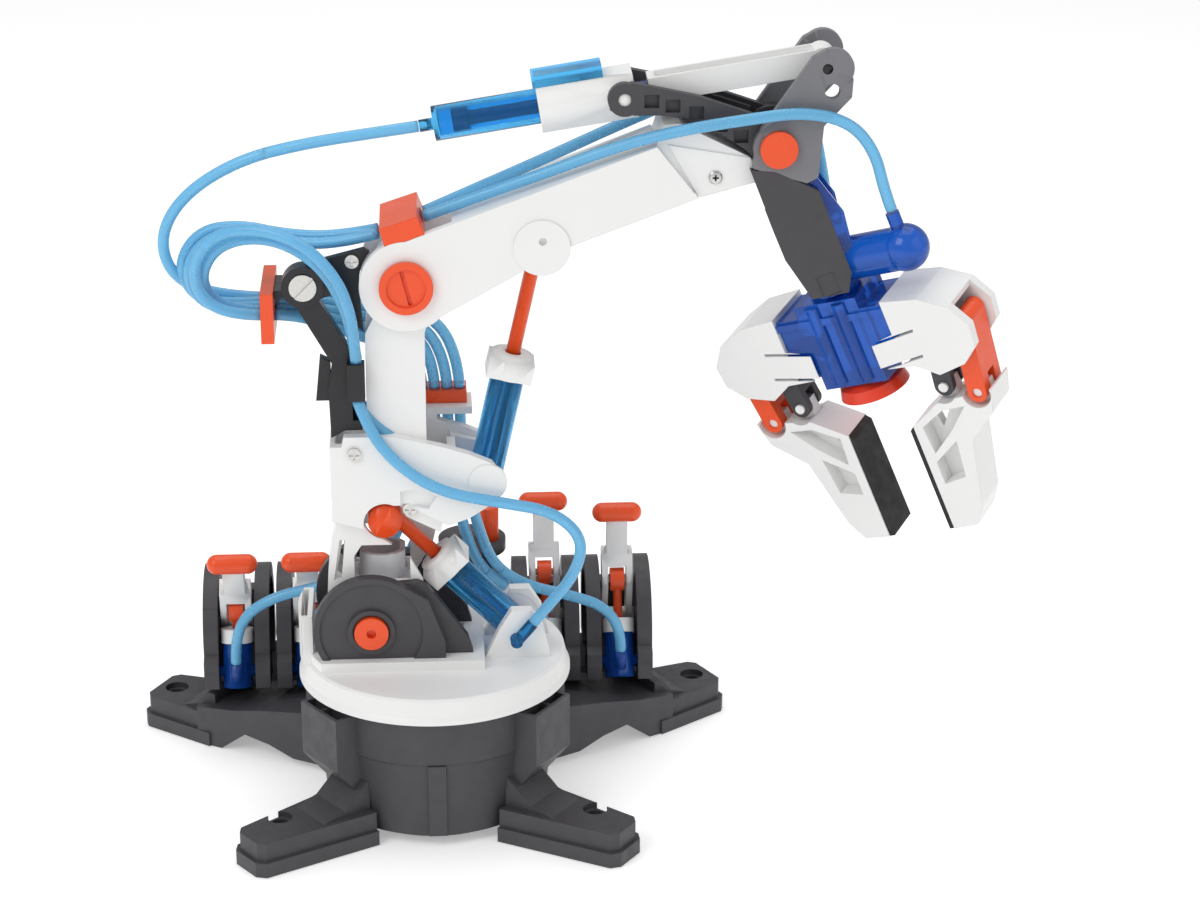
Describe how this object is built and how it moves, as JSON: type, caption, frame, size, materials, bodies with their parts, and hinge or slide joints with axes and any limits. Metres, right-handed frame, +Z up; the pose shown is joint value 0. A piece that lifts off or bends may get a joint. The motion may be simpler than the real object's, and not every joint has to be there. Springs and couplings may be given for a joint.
{
  "type": "hydraulic arm kit",
  "caption": "Water-hydraulic robot arm kit on a turntable: two-part arm with clear cylinders and hoses, turning claw gripper with a suction cup, and a rear lever console.",
  "frame": {"origin": "centre of the drum's flat bottom cover, on the ground under the turntable's axis", "axes": "+Z up along the turntable's axis, +X the way the arm reaches at rest, +Y towards the lever console"},
  "size_m": [0.3524, 0.1738, 0.3168],
  "materials": {
    "white_plastic": "satin",
    "grey_plastic": "matte",
    "black_plastic": "matte",
    "orange_plastic": "satin",
    "blue_clear_plastic": "gloss",
    "blue_hose": "gloss",
    "steel_screw": "satin",
    "pad_rubber": "matte",
    "cup_rubber": "satin",
    "silver_plastic": "satin",
    "pale_plastic": "satin"
  },
  "bodies": {
    "base": {"base_drum": "grey_plastic", "bottom_cover": "grey_plastic", "front_feet": "grey_plastic", "rear_wings": "grey_plastic", "console_base": "grey_plastic", "lever_housings": "grey_plastic"},
    "turntable": {"turntable": "white_plastic", "bearing_blocks": "grey_plastic", "shoulder_pin": "orange_plastic", "hoses_console": "blue_hose"},
    "lower_arm": {"lower_shells": "white_plastic", "lower_core": "pale_plastic", "elbow_bracket": "white_plastic", "hose_guide": "black_plastic", "hose_combs": "orange_plastic", "arm_screws": "steel_screw", "elbow_pin": "orange_plastic", "hoses_arm": "blue_hose"},
    "upper_arm": {"upper_shells": "white_plastic", "end_block": "white_plastic", "wrist_bracket": "grey_plastic", "hose_clip": "orange_plastic", "wrist_pin": "orange_plastic", "hoses_hand": "blue_hose"},
    "head": {"head_cheeks": "silver_plastic", "hand_frame": "grey_plastic", "wrist_housing": "blue_clear_plastic"},
    "gripper": {"gripper_housing": "blue_clear_plastic", "suction_cup": "cup_rubber", "gripper_knuckles": "white_plastic"},
    "crank": {"crank": "grey_plastic"},
    "drive_right": {"drive_link_right": "grey_plastic"},
    "follow_right": {"follow_link_right": "orange_plastic"},
    "claw_right": {"claw_right": "white_plastic", "claw_pad_right": "pad_rubber"},
    "drive_left": {"drive_link_left": "grey_plastic"},
    "follow_left": {"follow_link_left": "orange_plastic"},
    "claw_left": {"claw_left": "white_plastic", "claw_pad_left": "pad_rubber"},
    "shoulder_barrel": {"shoulder_barrel": "blue_clear_plastic"},
    "shoulder_rod": {"shoulder_rod": "orange_plastic"},
    "elbow_barrel": {"elbow_barrel": "blue_clear_plastic"},
    "elbow_rod": {"elbow_rod": "orange_plastic"},
    "wrist_barrel": {"wrist_barrel": "blue_clear_plastic"},
    "wrist_rod": {"wrist_rod": "blue_clear_plastic"},
    "lever_1": {"lever_1": "white_plastic"},
    "control_1_barrel": {"control_barrel_1": "blue_clear_plastic"},
    "control_1_rod": {"control_rod_1": "orange_plastic"},
    "lever_2": {"lever_2": "white_plastic"},
    "control_2_barrel": {"control_barrel_2": "blue_clear_plastic"},
    "control_2_rod": {"control_rod_2": "orange_plastic"},
    "lever_3": {"lever_3": "white_plastic"},
    "control_3_barrel": {"control_barrel_3": "blue_clear_plastic"},
    "control_3_rod": {"control_rod_3": "orange_plastic"},
    "lever_4": {"lever_4": "white_plastic"},
    "control_4_barrel": {"control_barrel_4": "blue_clear_plastic"},
    "control_4_rod": {"control_rod_4": "orange_plastic"},
    "lever_5": {"lever_5": "white_plastic"},
    "control_5_barrel": {"control_barrel_5": "blue_clear_plastic"},
    "control_5_rod": {"control_rod_5": "orange_plastic"}
  },
  "joints": [
    {"name": "base_turn", "type": "hinge", "parent": "base", "child": "turntable", "pos_m": [0, 0, 0.057], "axis": [0, 0, 1], "range_deg": [-180, 20], "deforming": ["hoses_console"]},
    {"name": "shoulder", "type": "hinge", "parent": "turntable", "child": "lower_arm", "pos_m": [-0.0249, 0, 0.084], "axis": [0, 1, 0], "range_deg": [-15, 29], "deforming": ["hoses_console", "hoses_arm"]},
    {"name": "elbow", "type": "hinge", "parent": "lower_arm", "child": "upper_arm", "pos_m": [-0.0079, 0, 0.226], "axis": [0, -1, 0], "range_deg": [-41, 3], "deforming": ["hoses_hand"]},
    {"name": "wrist_bend", "type": "hinge", "parent": "upper_arm", "child": "head", "pos_m": [0.1341, 0, 0.2785], "axis": [0, 1, 0], "range_deg": [-9, 40], "deforming": ["hoses_hand"]},
    {"name": "wrist_turn", "type": "hinge", "parent": "head", "child": "gripper", "pos_m": [0.1341, 0, 0.2785], "axis": [-0.3843, 0, 0.9232], "range_deg": [-8, 172]},
    {"name": "grip", "type": "hinge", "parent": "gripper", "child": "drive_right", "pos_m": [0.19484, -0.02015, 0.21334], "axis": [0.5028, 0.8387, 0.2093], "range_deg": [-17, 26]},
    {"name": "drive_left_turn", "type": "hinge", "parent": "gripper", "child": "drive_left", "pos_m": [0.13754, 0.02015, 0.18949], "axis": [0.5028, 0.8387, 0.2093], "range_deg": [-26.1, 17.1]},
    {"name": "follow_right_turn", "type": "hinge", "parent": "gripper", "child": "follow_right", "pos_m": [0.20721, -0.02778, 0.21416], "axis": [0.5028, 0.8387, 0.2093], "range_deg": [-17.1, 26.1]},
    {"name": "follow_left_turn", "type": "hinge", "parent": "gripper", "child": "follow_left", "pos_m": [0.12824, 0.02778, 0.18128], "axis": [0.5028, 0.8387, 0.2093], "range_deg": [-26.1, 17.1]},
    {"name": "claw_right_turn", "type": "hinge", "parent": "drive_right", "child": "claw_right", "pos_m": [0.20319, -0.01799, 0.1846], "axis": [0.5028, 0.8387, 0.2093], "range_deg": [-26.1, 17.1]},
    {"name": "claw_left_turn", "type": "hinge", "parent": "drive_left", "child": "claw_left", "pos_m": [0.15204, 0.01799, 0.16331], "axis": [0.5028, 0.8387, 0.2093], "range_deg": [-17.1, 26.1]},
    {"name": "shoulder_swing", "type": "hinge", "parent": "turntable", "child": "shoulder_barrel", "pos_m": [0.033, 0, 0.076], "axis": [0, 1, 0], "range_deg": [-5.44, 10.42]},
    {"name": "shoulder_stroke", "type": "slide", "parent": "shoulder_barrel", "child": "shoulder_rod", "axis": [-0.7003, 0, 0.7139], "range_m": [-0.01917, 0.00996]},
    {"name": "elbow_swing", "type": "hinge", "parent": "lower_arm", "child": "elbow_barrel", "pos_m": [0.0223, 0, 0.145], "axis": [0, 1, 0], "range_deg": [-0.67, 7.89]},
    {"name": "elbow_stroke", "type": "slide", "parent": "elbow_barrel", "child": "elbow_rod", "axis": [0.2212, 0, 0.9752], "range_m": [-0.03743, 0.00283]},
    {"name": "wrist_swing", "type": "hinge", "parent": "upper_arm", "child": "wrist_barrel", "pos_m": [0.076, 0, 0.297], "axis": [0, 1, 0], "range_deg": [-2.99, 12.93]},
    {"name": "wrist_stroke", "type": "slide", "parent": "wrist_barrel", "child": "wrist_rod", "axis": [0.9878, 0, 0.156], "range_m": [-0.00362, 0.01574]},
    {"name": "lever_1_swing", "type": "hinge", "parent": "base", "child": "lever_1", "pos_m": [-0.084, 0.08, 0.044], "axis": [1, 0, 0], "range_deg": [-70.62, 3.38]},
    {"name": "control_1_swing", "type": "hinge", "parent": "base", "child": "control_1_barrel", "pos_m": [-0.084, 0.057, 0.032], "axis": [1, 0, 0], "range_deg": [-27.92, 1.39]},
    {"name": "control_1_stroke", "type": "slide", "parent": "control_1_barrel", "child": "control_1_rod", "axis": [0, 0.2713, 0.9625], "range_m": [-0.00096, 0.01867]},
    {"name": "lever_2_swing", "type": "hinge", "parent": "base", "child": "lever_2", "pos_m": [-0.053, 0.08, 0.044], "axis": [1, 0, 0], "range_deg": [-47.25, 3.55]},
    {"name": "control_2_swing", "type": "hinge", "parent": "base", "child": "control_2_barrel", "pos_m": [-0.053, 0.057, 0.032], "axis": [1, 0, 0], "range_deg": [-17.76, 1.39]},
    {"name": "control_2_stroke", "type": "slide", "parent": "control_2_barrel", "child": "control_2_rod", "axis": [0, 0.2723, 0.9622], "range_m": [-0.00109, 0.01364]},
    {"name": "lever_3_swing", "type": "hinge", "parent": "base", "child": "lever_3", "pos_m": [-0.022, 0.08, 0.044], "axis": [1, 0, 0], "range_deg": [-12.7, 56.1]},
    {"name": "control_3_swing", "type": "hinge", "parent": "base", "child": "control_3_barrel", "pos_m": [-0.022, 0.057, 0.032], "axis": [1, 0, 0], "range_deg": [-5.23, 22.89]},
    {"name": "control_3_stroke", "type": "slide", "parent": "control_3_barrel", "child": "control_3_rod", "axis": [0, 0.6239, 0.7815], "range_m": [-0.0137, 0.00316]},
    {"name": "lever_4_swing", "type": "hinge", "parent": "base", "child": "lever_4", "pos_m": [0.048, 0.08, 0.044], "axis": [1, 0, 0], "range_deg": [-21.86, 33.38]},
    {"name": "control_4_swing", "type": "hinge", "parent": "base", "child": "control_4_barrel", "pos_m": [0.048, 0.057, 0.032], "axis": [1, 0, 0], "range_deg": [-9.18, 13.99]},
    {"name": "control_4_stroke", "type": "slide", "parent": "control_4_barrel", "child": "control_4_rod", "axis": [0, 0.5705, 0.8213], "range_m": [-0.00759, 0.00499]},
    {"name": "lever_5_swing", "type": "hinge", "parent": "base", "child": "lever_5", "pos_m": [0.079, 0.08, 0.044], "axis": [1, 0, 0], "range_deg": [-40.99, 21.25]},
    {"name": "control_5_swing", "type": "hinge", "parent": "base", "child": "control_5_barrel", "pos_m": [0.079, 0.057, 0.032], "axis": [1, 0, 0], "range_deg": [-17.14, 8.91]},
    {"name": "control_5_stroke", "type": "slide", "parent": "control_5_barrel", "child": "control_5_rod", "axis": [0, 0.4535, 0.8913], "range_m": [-0.00505, 0.00968]},
    {"name": "crank_turn", "type": "hinge", "parent": "base", "child": "crank", "pos_m": [0.017, 0.084, 0.078], "axis": [0, 0, 1], "range_deg": [-180.1, 20.1]}
  ],
  "couplings": [
    {"joint": "drive_left_turn", "follows": "grip", "ratio": -1},
    {"joint": "follow_right_turn", "follows": "grip", "ratio": 1},
    {"joint": "follow_left_turn", "follows": "grip", "ratio": -1},
    {"joint": "claw_right_turn", "follows": "grip", "ratio": -1},
    {"joint": "claw_left_turn", "follows": "grip", "ratio": 1},
    {"joint": "shoulder_swing", "follows": "shoulder", "ratio": 0.35581},
    {"joint": "shoulder_stroke", "follows": "shoulder", "m_per_rad": -0.03767},
    {"joint": "elbow_swing", "follows": "elbow", "ratio": -0.1899},
    {"joint": "elbow_stroke", "follows": "elbow", "m_per_rad": 0.052163},
    {"joint": "wrist_swing", "follows": "wrist_bend", "ratio": 0.32067},
    {"joint": "wrist_stroke", "follows": "wrist_bend", "m_per_rad": 0.022407},
    {"joint": "lever_1_swing", "follows": "wrist_turn", "ratio": -0.41},
    {"joint": "control_1_swing", "follows": "wrist_turn", "ratio": -0.16176},
    {"joint": "control_1_stroke", "follows": "wrist_turn", "m_per_rad": 0.006185},
    {"joint": "lever_2_swing", "follows": "elbow", "ratio": 1.15},
    {"joint": "control_2_swing", "follows": "elbow", "ratio": 0.43074},
    {"joint": "control_2_stroke", "follows": "elbow", "m_per_rad": -0.018928},
    {"joint": "lever_3_swing", "follows": "wrist_bend", "ratio": 1.4},
    {"joint": "control_3_swing", "follows": "wrist_bend", "ratio": 0.56973},
    {"joint": "control_3_stroke", "follows": "wrist_bend", "m_per_rad": -0.019481},
    {"joint": "lever_4_swing", "follows": "grip", "ratio": 1.28},
    {"joint": "control_4_swing", "follows": "grip", "ratio": 0.53411},
    {"joint": "control_4_stroke", "follows": "grip", "m_per_rad": -0.016496},
    {"joint": "lever_5_swing", "follows": "shoulder", "ratio": -1.41},
    {"joint": "control_5_swing", "follows": "shoulder", "ratio": -0.58741},
    {"joint": "control_5_stroke", "follows": "shoulder", "m_per_rad": 0.018928},
    {"joint": "crank_turn", "follows": "base_turn", "ratio": 1}
  ]
}
